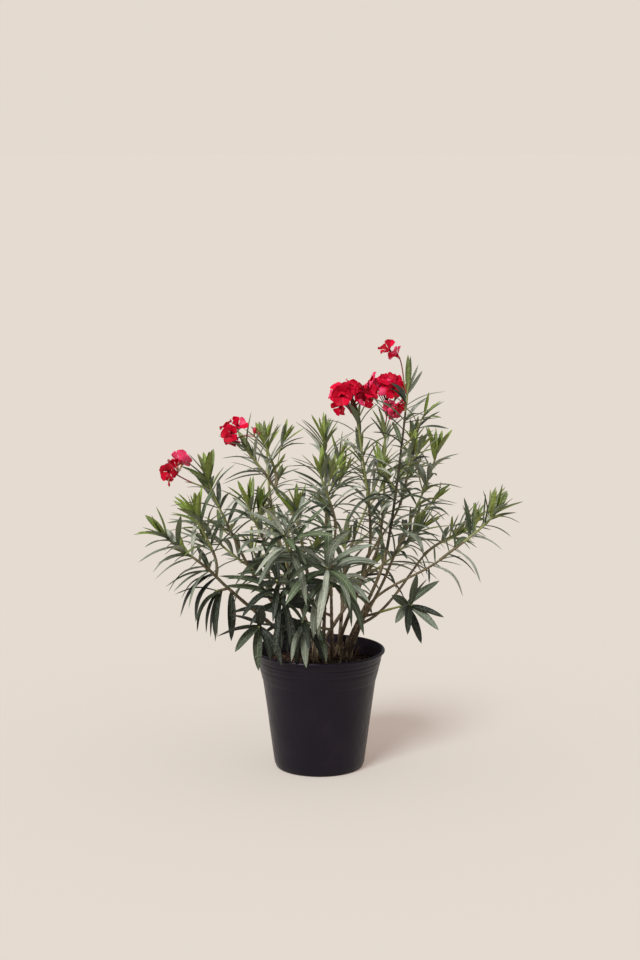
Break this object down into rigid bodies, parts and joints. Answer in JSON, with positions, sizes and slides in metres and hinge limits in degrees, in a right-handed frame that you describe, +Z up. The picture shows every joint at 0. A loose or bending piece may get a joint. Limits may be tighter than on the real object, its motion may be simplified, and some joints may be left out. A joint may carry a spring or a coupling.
{
  "type": "potted oleander",
  "caption": "Potted oleander shrub: arching stems with whorls of lance-shaped leaves and red flower trusses at the tips, in a round black nursery pot that stands on its flat underside.",
  "frame": {"origin": "centre of the pot's flat underside, on the floor", "axes": "+Z up along the pot's axis, -Y to the plant's viewing side, +X to the right of someone who faces that side"},
  "size_m": [0.7179, 0.6027, 0.7971],
  "materials": {
    "pot_plastic": "satin, near black",
    "soil": "granular, moist",
    "bark": "smooth young bark",
    "leaf": "leathery, slightly glossy",
    "petal": "velvety"
  },
  "bodies": {
    "root": {"blossom_back_mid": "petal", "blossom_left": "petal", "blossom_left_high": "petal", "blossom_tall_mid": "petal", "blossom_top": "petal", "bough_back_high": "bark", "bough_back_left": "bark", "bough_back_side": "bark", "bough_front_left": "bark", "bough_left_front": "bark", "bough_left_high": "bark", "bough_mid_front": "bark", "bough_right_low": "bark", "bough_right_mid": "bark", "foliage_back_high": "leaf", "foliage_back_left_high": "leaf", "foliage_back_left_low": "leaf", "foliage_back_low": "leaf", "foliage_back_low_right": "leaf", "foliage_back_mid": "leaf", "foliage_back_right_high": "leaf", "foliage_back_right_low": "leaf", "foliage_back_side": "leaf", "foliage_front": "leaf", "foliage_front_high": "leaf", "foliage_front_left": "leaf", "foliage_left": "leaf", "foliage_left_front": "leaf", "foliage_left_hanging": "leaf", "foliage_left_high": "leaf", "foliage_left_inner": "leaf", "foliage_left_inside": "leaf", "foliage_left_low": "leaf", "foliage_left_low_upper": "leaf", "foliage_low_left": "leaf", "foliage_mid": "leaf", "foliage_mid_front": "leaf", "foliage_pot_front": "leaf", "foliage_pot_left": "leaf", "foliage_pot_right": "leaf", "foliage_right_high": "leaf", "foliage_right_low": "leaf", "foliage_right_mid": "leaf", "foliage_tall_mid": "leaf", "foliage_tall_right": "leaf", "pot": "pot_plastic", "soil": "soil", "stem_back_left": "bark", "stem_back_mid": "bark", "stem_back_right": "bark", "stem_front": "bark", "stem_left": "bark", "stem_left_high": "bark", "stem_left_low": "bark", "stem_mid": "bark", "stem_right": "bark", "stem_right_high": "bark", "stem_tall_mid": "bark", "stem_tall_right": "bark"}
  },
  "joints": []
}
